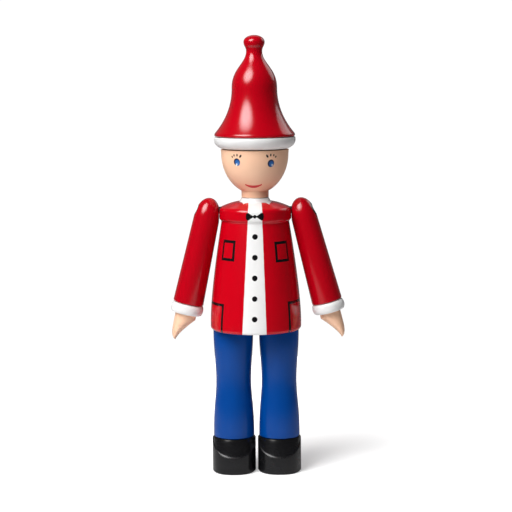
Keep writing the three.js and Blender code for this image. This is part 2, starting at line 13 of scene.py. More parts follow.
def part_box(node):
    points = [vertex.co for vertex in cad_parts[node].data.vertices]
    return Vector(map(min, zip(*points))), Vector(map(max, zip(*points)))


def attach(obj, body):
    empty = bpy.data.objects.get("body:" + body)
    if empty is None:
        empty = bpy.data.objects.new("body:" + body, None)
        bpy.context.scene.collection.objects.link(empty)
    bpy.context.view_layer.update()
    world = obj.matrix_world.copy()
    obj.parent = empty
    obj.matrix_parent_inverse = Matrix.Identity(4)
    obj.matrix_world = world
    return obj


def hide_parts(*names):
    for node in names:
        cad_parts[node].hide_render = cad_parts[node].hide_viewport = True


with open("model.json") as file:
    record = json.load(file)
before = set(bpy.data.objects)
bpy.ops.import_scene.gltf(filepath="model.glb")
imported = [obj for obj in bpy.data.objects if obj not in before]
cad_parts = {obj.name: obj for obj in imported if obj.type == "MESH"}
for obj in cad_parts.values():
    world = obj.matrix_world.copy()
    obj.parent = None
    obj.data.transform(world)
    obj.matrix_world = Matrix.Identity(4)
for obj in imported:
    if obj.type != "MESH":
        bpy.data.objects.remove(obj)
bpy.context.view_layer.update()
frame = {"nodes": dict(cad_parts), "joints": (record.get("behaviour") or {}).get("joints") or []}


# Shoes: two oval blocks of beech, cut on a slant in front so that a vamp climbs to the round ankle.
# They are shaped on a sander, sprayed in black gloss enamel, then doweled and glued to the legs.
MM = 0.001
SIDES = {"left": 1, "right": -1}
shoe_low, shoe_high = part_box("left_shoe")
ankle_x = (shoe_low.x + shoe_high.x) / 2
ankle_height = shoe_high.z
ankle_radius = 9.4 * MM
ankle_edge = 0.4 * MM
ankle_bore_depth = 8.5 * MM
dowel_bore = 2.8 * MM
sole_half_width = (shoe_high.x - shoe_low.x) / 2
sole_squareness = 2.3
sole_edge = 0.5 * MM
toe_reach = -shoe_low.y
heel_reach = shoe_high.y
toe_wall = 8 * MM
welt_slope = 0.69
welt_round = 0.25 * MM
welt_roll_step = 18
vamp_foot_pull = Vector((0.35, 0.05))
vamp_ankle_pull = Vector((0.55, 0.75))
SHOE_CORNERS = 96
VAMP_RINGS = 14
BLACK = (0.006, 0.006, 0.007)
# Where the Mix node takes and gives colours
MIX_GROUND, MIX_OVER, MIX_RESULT = 6, 7, 2


def add_node(tree, kind, inputs=None, **settings):
    """A shader node with its settings, its numbers and its incoming links."""
    node = tree.nodes.new(kind)
    for name, value in settings.items():
        setattr(node, name, value)
    for socket, value in (inputs or {}).items():
        if isinstance(value, bpy.types.NodeSocket):
            tree.links.new(value, node.inputs[socket])
        else:
            node.inputs[socket].default_value = value
    return node


def calc(tree, operation, first, second=0.0):
    """One step of arithmetic on sockets or numbers."""
    return add_node(tree, "ShaderNodeMath", {0: first, 1: second}, operation=operation).outputs[0]


def noise(tree, place, scale, detail):
    """A cloudy value from 0 to 1."""
    return add_node(
        tree, "ShaderNodeTexNoise", {"Vector": place, "Scale": scale, "Detail": detail}).outputs[0]


def along_grain(tree, place, pace):
    """Coordinates that draw a pattern out along +Z, where they run at a slower pace."""
    return add_node(tree, "ShaderNodeMapping", {"Vector": place, "Scale": (1, 1, pace)}).outputs[0]


def ramp(tree, value, start, end, low, high, **settings):
    """A value carried over from one range to another, and held beyond its ends."""
    return add_node(tree, "ShaderNodeMapRange", {
        "Value": value, "From Min": start, "From Max": end, "To Min": low, "To Max": high},
        **settings).outputs[0]


def mixed(tree, share, ground, over):
    """A share of one colour over another. A colour is three channels or a socket."""
    ground, over = (colour if isinstance(colour, bpy.types.NodeSocket) else (*colour, 1)
                    for colour in (ground, over))
    return add_node(tree, "ShaderNodeMix", {
        "Factor": share, MIX_GROUND: ground, MIX_OVER: over}, data_type="RGBA").outputs[MIX_RESULT]


def raised(tree, shader, relief, distance, strength=1.0):
    """Lays a fine relief over the one that is there."""
    bump = add_node(tree, "ShaderNodeBump", {
        "Height": relief, "Strength": strength, "Distance": distance})
    for below in shader.inputs["Normal"].links:
        tree.links.new(below.from_socket, bump.inputs["Normal"])
    tree.links.new(bump.outputs[0], shader.inputs["Normal"])


def finish(name):
    """A new material, with a node for the piece's own coordinates."""
    material = bpy.data.materials.new(name)
    material.use_nodes = True
    add_node(material.node_tree, "ShaderNodeTexCoord")
    return material


def nodes_of(material):
    """The node tree of a finish, its shader and the piece's own coordinates."""
    tree = material.node_tree
    coordinates = next(node for node in tree.nodes if node.type == "TEX_COORD")
    return tree, tree.nodes["Principled BSDF"], coordinates.outputs["Object"]


def enamel(name, colour, roughness, gloss, sheen=0.5):
    """Sprayed enamel on turned beech: orange peel, grain that prints through, uneven gloss."""
    gloss_roughness = 0.16
    uneven_roughness = 0.03
    drift_range = (0.3, 0.7)
    thick_tone = 0.93
    grain_share = 0.4
    relief_height = 0.0015 * MM
    material = finish(name)
    tree, shader, place = nodes_of(material)
    shader.inputs["Coat Weight"].default_value = gloss
    shader.inputs["Coat Roughness"].default_value = gloss_roughness
    shader.inputs["Specular IOR Level"].default_value = sheen
    grain = noise(tree, along_grain(tree, place, pace=0.05), scale=1400.0, detail=3.0)
    peel = noise(tree, place, scale=1100.0, detail=1.0)
    drift = noise(tree, place, scale=90.0, detail=2.0)
    relief = calc(tree, "ADD", calc(tree, "MULTIPLY", grain, grain_share), peel)
    raised(tree, shader, relief, relief_height)
    uneven = ramp(
        tree, drift, *drift_range, roughness - uneven_roughness, roughness + uneven_roughness)
    tree.links.new(uneven, shader.inputs["Roughness"])
    thick_colour = [channel * thick_tone for channel in colour]
    tree.links.new(mixed(tree, drift, colour, thick_colour), shader.inputs["Base Color"])
    return material


def ring_of(bm, corners, place_at):
    """A closed ring of edges. Each corner is placed by its angle round +Z."""
    ring = bmesh.ops.create_circle(bm, segments=corners, radius=1.0)["verts"]
    for corner in ring:
        corner.co = place_at(math.atan2(corner.co.y, corner.co.x))
    return list({edge for corner in ring for edge in corner.link_edges})


def lofted(rings, corners):
    """A closed skin bridged over rings, foot first, with both ends filled."""
    bm = bmesh.new()
    loops = [ring_of(bm, corners, place_at) for place_at in rings]
    for lower, upper in zip(loops, loops[1:]):
        bmesh.ops.bridge_loops(bm, edges=lower + upper)
    bmesh.ops.edgeloop_fill(bm, edges=loops[0])
    bmesh.ops.edgeloop_fill(bm, edges=loops[-1])
    bmesh.ops.recalc_face_normals(bm, faces=bm.faces)
    return bm


def piece_of(bm, name, material):
    """An object at the origin from a finished bmesh, smooth but for its creases."""
    crease_angle = math.radians(35)
    mesh = bpy.data.meshes.new(name)
    bm.to_mesh(mesh)
    bm.free()
    mesh.materials.append(material)
    mesh.shade_smooth()
    mesh.set_sharp_from_angle(angle=crease_angle)
    piece = bpy.data.objects.new(name, mesh)
    bpy.context.scene.collection.objects.link(piece)
    return piece


def sole_plan(angle, inset):
    """A corner of the oval sole, squarer than an ellipse and longer in the toe."""
    reach = toe_reach if math.sin(angle) < 0 else heel_reach
    across, along = (math.copysign(abs(part) ** (2 / sole_squareness), part)
                     for part in (math.cos(angle), math.sin(angle)))
    return Vector((across * (sole_half_width - inset), along * (reach - inset), 0))


def sole_ring(inset, height):
    """A level ring on the wall of the shoe."""
    return lambda angle: sole_plan(angle, inset) + Vector((0, 0, height))


def round_ring(radius, height):
    """A level circle about the axis."""
    return lambda angle: Vector((math.cos(angle) * radius, math.sin(angle) * radius, height))


def welt_and_ankle(angle):
    """Where the wall ends and where the ankle begins. The slant runs out under the ankle's edge."""
    welt = sole_plan(angle, 0)
    welt.z = min(toe_wall + (welt.y + toe_reach) * welt_slope, ankle_height - ankle_edge)
    return welt, round_ring(ankle_radius, ankle_height)(angle)


def welt_ring(roll):
    """A ring on the rounded welt: roll 0 is on the wall, 90 on the vamp."""
    def place_at(angle):
        welt, ankle = welt_and_ankle(angle)
        way_in = (ankle - welt) * Vector((1, 1, 0))
        way_in = way_in.normalized() * min(welt_round, way_in.length / 2)
        turn = math.radians(roll)
        return welt + way_in * (1 - math.cos(turn)) - Vector((0, 0, welt_round * (1 - math.sin(turn))))
    return place_at


def vamp_ring(inwards, upwards):
    """A ring part of the way in from the rounded welt to the ankle, and part of the way up."""
    def place_at(angle):
        start = welt_ring(90)(angle)
        ankle = welt_and_ankle(angle)[1]
        corner = start.lerp(ankle, inwards)
        corner.z = start.z + (ankle.z - start.z) * upwards
        return corner
    return place_at


black_enamel = enamel("black gloss enamel", BLACK, roughness=0.26, gloss=0.1, sheen=0.4)
vamp_sweep = interpolate_bezier(
    Vector((0, 0)), vamp_foot_pull, vamp_ankle_pull, Vector((1, 1)), VAMP_RINGS)
shoe_rings = [sole_ring(sole_edge, 0), sole_ring(0, sole_edge)]
shoe_rings += [welt_ring(roll) for roll in range(0, 90, welt_roll_step)]
shoe_rings += [vamp_ring(step.x, step.y) for step in vamp_sweep]
shoe_rings += [round_ring(dowel_bore, ankle_height - depth) for depth in (0, ankle_bore_depth)]
for side_name, side in SIDES.items():
    bm = lofted(shoe_rings, SHOE_CORNERS)
    bmesh.ops.translate(bm, verts=bm.verts, vec=(side * ankle_x, 0, 0))
    shoe = piece_of(bm, f"{side_name}_shoe_black", black_enamel)
    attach(shoe, "trunk")
    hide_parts(f"{side_name}_shoe")


# Ankle, hip and hat dowels: plain beech rod with chamfered ends, glued into both pieces.
# They stay out of sight inside the sockets, so they keep their solids and get bare beech.
DOWELS = ("left_ankle_dowel", "right_ankle_dowel", "left_hip_dowel", "right_hip_dowel", "hat_dowel")
BEECH = (0.56, 0.36, 0.2)
BEECH_FLECK = (0.36, 0.19, 0.09)


def bare_beech():
    """Beech end to end: pale ground, short dark flecks along the rod, a dry surface."""
    fleck_range = (0.55, 0.75)
    material = finish("bare beech")
    tree, shader, place = nodes_of(material)
    fleck = noise(tree, along_grain(tree, place, pace=0.12), scale=1800.0, detail=4.0)
    picked = ramp(tree, fleck, *fleck_range, 0.0, 1.0)
    tree.links.new(mixed(tree, picked, BEECH, BEECH_FLECK), shader.inputs["Base Color"])
    shader.inputs["Roughness"].default_value = 0.65
    raised(tree, shader, fleck, distance=0.02 * MM, strength=0.6)
    return material


beech = bare_beech()
for dowel in DOWELS:
    frame["nodes"][dowel].data.materials.clear()
    frame["nodes"][dowel].data.materials.append(beech)


# Legs: trousers turned in beech, slim in the middle like an hourglass, in blue satin enamel.
# Each is bored in both ends and glued between its shoe and the coat.
leg_low, leg_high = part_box("left_leg")
leg_waist_radius = 8.1 * MM
leg_waist_rise = 26.5 * MM
leg_hip_radius = 9.15 * MM
leg_edge = 0.5 * MM
hip_bore_depth = 9.5 * MM
same_spot = 1e-7
TURNING_STEPS = 96
BLUE = (0.0, 0.053, 0.276)


def at(radius, height):
    """A point of a profile."""
    return Vector((radius, 0, height))


def eased(start, end, start_hold, end_hold, points):
    """A stretch of profile that leaves and arrives along the axis. Each hold is a share of it."""
    rise = Vector((0, 0, end.z - start.z))
    return interpolate_bezier(start, start + rise * start_hold, end - rise * end_hold, end, points)


def rolled(centre, across, up, from_degrees, to_degrees, points):
    """An elliptical stretch of profile."""
    span = to_degrees - from_degrees
    turns = [math.radians(from_degrees + span * step / (points - 1)) for step in range(points)]
    return [centre + at(across * math.cos(turn), up * math.sin(turn)) for turn in turns]


def turned(profile):
    """A turning about the Z axis from a profile that runs from foot to top."""
    bm = bmesh.new()
    corners = [bm.verts.new(point) for point in profile]
    line = [bm.edges.new(pair) for pair in zip(corners, corners[1:])]
    bmesh.ops.spin(bm, geom=corners + line, cent=(0, 0, 0), axis=(0, 0, 1), dvec=(0, 0, 0),
                   angle=math.tau, steps=TURNING_STEPS, use_merge=True)
    bmesh.ops.remove_doubles(bm, verts=bm.verts, dist=same_spot)
    bmesh.ops.dissolve_degenerate(bm, edges=bm.edges, dist=same_spot)
    bmesh.ops.recalc_face_normals(bm, faces=bm.faces)
    return bm


blue_enamel = enamel("blue satin enamel", BLUE, roughness=0.2, gloss=0.0, sheen=0.28)
leg_foot = at(ankle_radius, leg_low.z + leg_edge)
leg_waist = at(leg_waist_radius, leg_low.z + leg_waist_rise)
leg_hip = at(leg_hip_radius, leg_high.z - leg_edge)
leg_profile = [
    at(0, leg_low.z + ankle_bore_depth),
    at(dowel_bore, leg_low.z + ankle_bore_depth),
    at(dowel_bore, leg_low.z),
    *rolled(leg_foot - at(leg_edge, 0), leg_edge, leg_edge, -90, 0, points=5),
    *eased(leg_foot, leg_waist, start_hold=0.55, end_hold=0.33, points=20)[1:],
    *eased(leg_waist, leg_hip, start_hold=0.33, end_hold=0.4, points=20)[1:],
    *rolled(leg_hip - at(leg_edge, 0), leg_edge, leg_edge, 0, 90, points=5)[1:],
    at(dowel_bore, leg_high.z),
    at(dowel_bore, leg_high.z - hip_bore_depth),
    at(0, leg_high.z - hip_bore_depth)]
for side_name, side in SIDES.items():
    bm = turned(leg_profile)
    bmesh.ops.translate(bm, verts=bm.verts, vec=(side * ankle_x, 0, 0))
    leg = piece_of(bm, f"{side_name}_leg_blue", blue_enamel)
    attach(leg, "trunk")
    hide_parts(f"{side_name}_leg")


# Coat: the trunk, turned in one piece with a flared skirt, a shallow groove and a shoulder yoke.
# It is bored for neck, hips and shoulder screws and sprayed red. White front, collar, bow tie,
# buttons and pocket lines are painted on by hand, a little proud of the red.
coat_low, coat_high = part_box("coat")
coat_base = coat_low.z
coat_top = coat_high.z
hem_radius = coat_high.x
hem_round_in = 0.9 * MM
hem_round_up = 1.5 * MM
hem_straight = 3.4 * MM
flare_hold = 0.28
yoke_radius = 16.5 * MM
yoke_top = coat_top - 4.6 * MM
yoke_foot = yoke_top - 4.8 * MM
yoke_edge = 1.4 * MM
groove_radius = yoke_radius - 0.95 * MM
groove_height = yoke_foot - 1.8 * MM
groove_undercut = 0.1 * MM
shoulder_edge = 1.3 * MM
shoulder_curve = 0.3
collar_radius = 7.2 * MM
collar_foot = coat_top - 1.7 * MM
neck_radius = 6.2 * MM
neck_bore = 4.3 * MM
neck_bore_depth = 10.5 * MM
shoulder = Vector(next(
    joint for joint in frame["joints"] if joint["name"] == "left_arm_swing")["pos_m"])
running_gap = 0.3 * MM
washer_low, washer_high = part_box("left_shoulder_washer")
washer_radius = washer_high.z - shoulder.z
screw_bore = 1.6 * MM
screw_bore_end = 7.9 * MM
RED = (0.57, 0.0, 0.008)
RED_FINISH = {"roughness": 0.17, "gloss": 0.48, "sheen": 0.3}
WHITE = (0.87, 0.87, 0.865)


def swept(start, pull, end, points):
    """A stretch of profile drawn towards one pull point."""
    return interpolate_bezier(start, start.lerp(pull, 2 / 3), end.lerp(pull, 2 / 3), end, points)


def drilled(piece, drills):
    """Cuts drills out of a piece and throws the drills away."""
    for drill in drills:
        cut = piece.modifiers.new("bore", "BOOLEAN")
        cut.object = drill
        cut.operation = "DIFFERENCE"
        cut.solver = "EXACT"
    evaluated = piece.evaluated_get(bpy.context.evaluated_depsgraph_get())
    solid = bpy.data.meshes.new_from_object(evaluated)
    piece.modifiers.clear()
    piece.data = solid
    for drill in drills:
        bpy.data.meshes.remove(drill.data)


def drill_bit(name, radius, start, end):
    """A round drill between two points."""
    bm = bmesh.new()
    way = end - start
    facing = way.to_track_quat("Z", "Y").to_matrix().to_4x4()
    bmesh.ops.create_cone(bm, cap_ends=True, segments=48, radius1=radius, radius2=radius,
                          depth=way.length, matrix=Matrix.Translation((start + end) / 2) @ facing)
    mesh = bpy.data.meshes.new(name)
    bm.to_mesh(mesh)
    bm.free()
    bit = bpy.data.objects.new(name, mesh)
    bpy.context.scene.collection.objects.link(bit)
    return bit


def shoulder_point(side, across):
    """A point on the level line through both shoulder screws."""
    return Vector((side * across, 0, shoulder.z))


def nearest(tree, *distances):
    """The nearest of several painted shapes. A distance is below 0 inside its shape."""
    return reduce(lambda found, distance: calc(tree, "MINIMUM", found, distance), distances)


def inside_all(tree, *distances):
    """The part that several shapes share."""
    return reduce(lambda found, distance: calc(tree, "MAXIMUM", found, distance), distances)


def apart(tree, first, second):
    """How far two values lie apart."""
    return calc(tree, "ABSOLUTE", calc(tree, "SUBTRACT", first, second))


def length_of(tree, across, up):
    """The length of a line with these two parts."""
    spot = add_node(tree, "ShaderNodeCombineXYZ", {0: across, 1: up}).outputs[0]
    return add_node(tree, "ShaderNodeVectorMath", {0: spot}, operation="LENGTH").outputs["Value"]


def turn_round(tree, x, y):
    """The angle round the axis: 0 in front, growing to the figure's left."""
    return calc(tree, "ARCTAN2", x, calc(tree, "MULTIPLY", y, -1.0))


def paint_mask(tree, distance, softness):
    """1 where a shape is painted, 0 outside, with a soft brushed edge."""
    return ramp(tree, distance, -softness, softness, 1.0, 0.0, interpolation_type="SMOOTHSTEP")


def laid_over(tree, shader, mask, colour):
    """Lays one paint over what is there."""
    below = shader.inputs["Base Color"].links[0].from_socket
    tree.links.new(mixed(tree, mask, below, colour), shader.inputs["Base Color"])


def shaped(tree, along, length, outline, height):
    """A half width that follows a given outline over a length."""
    curve = add_node(tree, "ShaderNodeFloatCurve", {"Value": calc(tree, "DIVIDE", along, length)})
    line = curve.mapping.curves[0]
    line.points[0].location = outline[0]
    line.points[1].location = outline[-1]
    for point in outline[1:-1]:
        line.points.new(*point)
    curve.mapping.update()
    return calc(tree, "MULTIPLY", curve.outputs[0], height)


def pocket_line(tree, turn, height, middle, half_turn, radius, low, high, slant):
    """The brushed outline of a pocket, square in angle and height on the coat."""
    line_width = 1.27 * MM
    lean = calc(tree, "MULTIPLY", calc(tree, "SUBTRACT", height, high), slant)
    across = apart(tree, calc(tree, "ADD", turn, lean), math.radians(middle))
    past_side = calc(tree, "MULTIPLY", calc(tree, "SUBTRACT", across, math.radians(half_turn)), radius)
    past_top = calc(tree, "SUBTRACT", apart(tree, height, (low + high) / 2), (high - low) / 2)
    outline = calc(tree, "ABSOLUTE", inside_all(tree, past_side, past_top))
    return calc(tree, "SUBTRACT", outline, line_width / 2)


def painted_coat():
    """Red enamel with the white front and collar and the black lines laid over it."""
    brush_wobble = 0.16 * MM
    brush_softness = 0.07 * MM
    film_height = 0.02 * MM
    material = enamel("red satin enamel with painted dress", RED, **RED_FINISH)
    tree, shader, place = nodes_of(material)
    x, y, height = add_node(tree, "ShaderNodeSeparateXYZ", {0: place}).outputs
    turn = turn_round(tree, x, y)
    wobble = calc(tree, "SUBTRACT", noise(tree, place, scale=420.0, detail=1.0), 0.5)
    unsteady = calc(tree, "MULTIPLY", wobble, brush_wobble)

    # White: the front strip leans a little and widens to the hem, and the collar has two wings
    front_lean = 0.0117
    front_plumb = 127.6 * MM
    front_half_width = 6 * MM
    front_outline = [(0, 0.91), (0.25, 0.803), (0.41, 0.738), (0.57, 0.661), (0.72, 0.596),
                     (0.83, 0.543), (0.93, 0.525), (1, 0.42)]
    collar_reach = 7.3 * MM
    wing_middle = 0.5 * MM
    wing_corners = [Vector((3.3, -5.8)) * MM, Vector((5.8, -9.2)) * MM, Vector((7.2, -1.5)) * MM]
    lean = calc(tree, "MULTIPLY", calc(tree, "SUBTRACT", height, front_plumb), front_lean)
    off_middle = calc(tree, "SUBTRACT", x, lean)
    front_half = shaped(tree, calc(tree, "SUBTRACT", height, coat_base), coat_top - coat_base,
                        front_outline, front_half_width)
    past_strip = calc(tree, "SUBTRACT", calc(tree, "ABSOLUTE", off_middle), front_half)
    strip = inside_all(tree, past_strip, y)
    collar_ring = calc(tree, "SUBTRACT", length_of(tree, x, y), collar_reach)
    beside = apart(tree, x, wing_middle)
    plan = add_node(tree, "ShaderNodeCombineXYZ", {0: beside, 1: y}).outputs[0]
    wing_sides = []
    for corner, following in zip(wing_corners, wing_corners[1:] + wing_corners[:1]):
        run = (following - corner).normalized()
        outwards = Vector((run.y, -run.x, 0))
        along = add_node(tree, "ShaderNodeVectorMath", {0: plan, 1: outwards}, operation="DOT_PRODUCT")
        wing_sides.append(calc(tree, "SUBTRACT", along.outputs["Value"], outwards.xy.dot(corner)))
    wing = inside_all(tree, *wing_sides)
    below_yoke = calc(tree, "SUBTRACT", yoke_top, height)
    collar = inside_all(tree, nearest(tree, collar_ring, wing), below_yoke)
    white = calc(tree, "ADD", nearest(tree, strip, collar), unsteady)

    # Black: the bow tie and five buttons
    bow_height = 119.65 * MM
    bow_middle = -0.2 * MM
    bow_half_length = 4.05 * MM
    bow_half_height = 1.95 * MM
    bow_outline = [(0, 0.4), (0.09, 0.37), (0.19, 0.18), (0.32, 0.3), (0.52, 0.58), (0.78, 0.88),
                   (0.92, 0.72), (0.98, 0.35), (1, 0)]
    button_radius = 1.25 * MM
    button_count = 5
    button_step = 9.19 * MM
    first_button = 73.8 * MM
    row_middle = first_button + button_step * (button_count - 1) / 2
    bow_half = shaped(tree, apart(tree, x, bow_middle), bow_half_length, bow_outline, bow_half_height)
    bow = calc(tree, "SUBTRACT", apart(tree, height, bow_height), bow_half)
    in_step = add_node(tree, "ShaderNodeMath", {
        0: calc(tree, "SUBTRACT", height, first_button), 1: button_step / 2, 2: -button_step / 2},
        operation="WRAP").outputs[0]
    past_button = calc(tree, "SUBTRACT", length_of(tree, off_middle, in_step), button_radius)
    past_row = calc(tree, "SUBTRACT", apart(tree, height, row_middle), button_step * button_count / 2)
    buttons = inside_all(tree, past_button, past_row)
    front_marks = inside_all(tree, nearest(tree, bow, buttons), y)

    # Pockets: middle and half width in degrees, radius there, low and high edge, slant per metre
    breast_radius = 17.6 * MM
    hip_radius = 20.5 * MM
    past_hem = coat_base - 5 * MM
    pockets = [pocket_line(tree, turn, height, *pocket) for pocket in (
        (-45.7, 11.3, breast_radius, 100.0 * MM, 108.05 * MM, 0),
        (43.9, 11.5, breast_radius, 99.45 * MM, 107.45 * MM, 0),
        (-72.8, 26, hip_radius, past_hem, 79.3 * MM, -2.7),
        (73, 26, hip_radius, past_hem, 80.2 * MM, 1.0))]
    black = calc(tree, "ADD", nearest(tree, front_marks, *pockets), unsteady)

    white_paint = paint_mask(tree, white, brush_softness)
    black_paint = paint_mask(tree, black, brush_softness)
    laid_over(tree, shader, white_paint, WHITE)
    laid_over(tree, shader, black_paint, BLACK)
    raised(tree, shader, calc(tree, "ADD", white_paint, black_paint), film_height)
    return material


hem_middle = at(hem_radius - hem_round_in, coat_base + hem_round_up)
flare_start = at(hem_radius, coat_base + hem_straight)
flare_end = at(groove_radius, groove_height)
flare_pull = at(hem_radius, flare_start.z + (groove_height - flare_start.z) * flare_hold)
groove_pull = at(groove_radius - groove_undercut, yoke_foot - yoke_edge)
yoke_lip = at(yoke_radius - yoke_edge / 2, yoke_foot - yoke_edge / 2)
yoke_lip_pull = at(yoke_radius, yoke_foot - yoke_edge / 4)
yoke_wall_foot = at(yoke_radius, yoke_foot + yoke_edge / 2)
yoke_wall_top = at(yoke_radius, yoke_top - shoulder_edge)
shoulder_start = at(yoke_radius - shoulder_edge, yoke_top + shoulder_edge / 2)
shoulder_pull = at(collar_radius + (yoke_radius - collar_radius) * shoulder_curve, collar_foot)
coat_profile = [
    at(0, coat_base),
    *rolled(hem_middle, hem_round_in, hem_round_up, -90, 0, points=12),
    *swept(flare_start, flare_pull, flare_end, points=30),
    *swept(flare_end, groove_pull, yoke_lip, points=8)[1:],
    *swept(yoke_lip, yoke_lip_pull, yoke_wall_foot, points=6)[1:],
    *swept(yoke_wall_top, at(yoke_radius, yoke_top), shoulder_start, points=8),
    *swept(shoulder_start, shoulder_pull, at(collar_radius, collar_foot), points=16)[1:],
    at(neck_radius, coat_top),
    at(neck_bore, coat_top),
    at(neck_bore, coat_top - neck_bore_depth),
    at(0, coat_top - neck_bore_depth)]
coat = piece_of(turned(coat_profile), "coat_red", painted_coat())
coat_drills = []
for side in SIDES.values():
    hip = Vector((side * ankle_x, 0, coat_base))
    outside = shoulder_point(side, shoulder.x)
    washer_seat = shoulder_point(side, washer_low.x - running_gap)
    coat_drills += [
        drill_bit("hip_drill", dowel_bore, hip - at(0, hip_bore_depth), hip + at(0, hip_bore_depth)),
        drill_bit("washer_drill", washer_radius + running_gap, outside, washer_seat),
        drill_bit("screw_drill", screw_bore, outside, shoulder_point(side, screw_bore_end))]
drilled(coat, coat_drills)
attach(coat, "trunk")
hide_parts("coat")


# Head: one turning with its neck and a round tenon that turns in the coat's socket.
# Sprayed in a skin tone, with eyes, lashes and a small mouth painted on by brush.
head_low, head_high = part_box("head")
neck_base = coat_top + running_gap
tenon_radius = 4 * MM
tenon_chamfer = 0.6 * MM
jaw_radius = 15.3 * MM
jaw_height = 18.6 * MM
jaw_top = head_high.z - 1.76 * MM
temple_radius = head_high.x
hat_bore = 3.3 * MM
hat_bore_depth = 8.5 * MM
SKIN = (0.98, 0.605, 0.405)
SKIN_FINISH = {"roughness": 0.42, "gloss": 0.04}
# The eyes' dark rim is partly painted shade, and their light dab and glint are painted highlights
IRIS_RIM_AND_SHADE = (0.002, 0.007, 0.035)
IRIS = (0.011, 0.105, 0.4)
IRIS_HIGHLIGHT = (0.05, 0.2, 0.53)
GLINT = (0.8, 0.82, 0.85)
LASH = (0.02, 0.007, 0.006)
LIP = (0.64, 0.0, 0.006)


def dab_mask(tree, face, middle, halves, lean, softness):
    """1 inside a leaning oval dab, 0 outside. The softness of its edge is a share of its size."""
    local = add_node(tree, "ShaderNodeMapping", {
        "Vector": face, "Location": (*middle, 0), "Rotation": (0, 0, math.radians(lean)),
        "Scale": (*halves, 1)}, vector_type="TEXTURE")
    reach = add_node(tree, "ShaderNodeVectorMath", {0: local.outputs[0]}, operation="LENGTH")
    return paint_mask(tree, calc(tree, "SUBTRACT", reach.outputs["Value"], 1.0), softness)


def painted_head():
    """Skin enamel with a small painted face."""
    face_middle = -0.5 * MM
    dab_softness = 0.2
    material = enamel("skin satin enamel with painted face", SKIN, **SKIN_FINISH)
    tree, shader, place = nodes_of(material)
    x, y, height = add_node(tree, "ShaderNodeSeparateXYZ", {0: place}).outputs
    arc = calc(tree, "MULTIPLY", turn_round(tree, x, y), jaw_radius)
    around = calc(tree, "SUBTRACT", arc, face_middle)
    mirrored = calc(tree, "ABSOLUTE", around)
    face = add_node(tree, "ShaderNodeCombineXYZ", {0: around, 1: height}).outputs[0]
    half_face = add_node(tree, "ShaderNodeCombineXYZ", {0: mirrored, 1: height}).outputs[0]

    # Eyes: blue ovals that lean apart at the top, with painted shade above and a painted
    # highlight and a pale glint below.
    # Each dab: its place on the eye, its half width and half height, its softness and its paint.
    eye_across = 8.16 * MM
    eye_heights = {-1: 143.9 * MM, 1: 143.3 * MM}
    eye_lean = -12
    # The dark rim shows thickest at the upper left as painted shade; the light dab low on the eye is a
    # painted highlight
    eye_dabs = [(Vector((0, 0)), Vector((1.66, 1.72)), 0.05, IRIS_RIM_AND_SHADE),
                (Vector((0.24, -0.2)), Vector((1.2, 1.28)), 0.2, IRIS),
                (Vector((0.55, -0.6)), Vector((0.7, 0.75)), 0.5, IRIS_HIGHLIGHT)]
    glints = {-1: (Vector((-0.3, -1.2)), Vector((0.45, 0.675))),
              1: (Vector((0.75, -0.8)), Vector((0.3, 0.45)))}
    glint_lean = 20
    for side, eye_height in eye_heights.items():
        eye = Vector((side * eye_across, eye_height))
        for offset, halves, softness, colour in eye_dabs:
            dab = dab_mask(tree, face, eye + offset * MM, halves * MM, side * eye_lean, softness)
            laid_over(tree, shader, dab, colour)
        offset, halves = glints[side]
        glint = dab_mask(tree, face, eye + offset * MM, halves * MM, side * glint_lean, dab_softness)
        laid_over(tree, shader, glint, GLINT)

    # Lashes: four short strokes that fan out over each eye, the inner one heaviest.
    # Each stroke: its place on the half face, its half width and half length, and its lean.
    strokes = [(Vector((6.2, 146.6)), Vector((0.46, 0.8)), 36),
               (Vector((7.9, 147.02)), Vector((0.38, 0.62)), 0),
               (Vector((9.5, 146.9)), Vector((0.36, 0.52)), -8),
               (Vector((10.6, 146.2)), Vector((0.36, 0.52)), -42)]
    for middle, halves, lean in strokes:
        stroke = dab_mask(tree, half_face, middle * MM, halves * MM, lean, dab_softness)
        laid_over(tree, shader, stroke, LASH)

    # Mouth: one red curve, drawn as an arc on the front that thins out to its ends
    smile_radius = 7.2 * MM
    smile_middle = -0.7 * MM
    smile_low = 132.55 * MM
    smile_half = 3.8 * MM
    smile_width = 1.25 * MM
    smile_softness = 0.05 * MM
    from_middle = calc(tree, "SUBTRACT", x, smile_middle)
    from_centre = calc(tree, "SUBTRACT", height, smile_low + smile_radius)
    off_arc = apart(tree, length_of(tree, from_middle, from_centre), smile_radius)
    off_middle = calc(tree, "ABSOLUTE", from_middle)
    half_stroke = ramp(tree, off_middle, smile_half / 4, smile_half, smile_width / 2, smile_width / 5)
    past_end = calc(tree, "SUBTRACT", off_middle, smile_half)
    past_stroke = calc(tree, "SUBTRACT", off_arc, half_stroke)
    smile = inside_all(tree, past_stroke, past_end, from_centre, y)
    laid_over(tree, shader, paint_mask(tree, smile, smile_softness), LIP)
    return material


chin_angle = -math.degrees(math.acos(neck_radius / jaw_radius))
head_profile = [
    at(0, head_low.z),
    at(tenon_radius - tenon_chamfer, head_low.z),
    at(tenon_radius, head_low.z + tenon_chamfer),
    at(tenon_radius, neck_base),
    at(neck_radius, neck_base),
    *rolled(at(0, jaw_top), jaw_radius, jaw_height, chin_angle, 0, points=36),
    at(temple_radius, head_high.z),
    at(hat_bore, head_high.z),
    at(hat_bore, head_high.z - hat_bore_depth),
    at(0, head_high.z - hat_bore_depth)]
head = piece_of(turned(head_profile), "head_skin", painted_head())
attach(head, "head")
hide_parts("head")


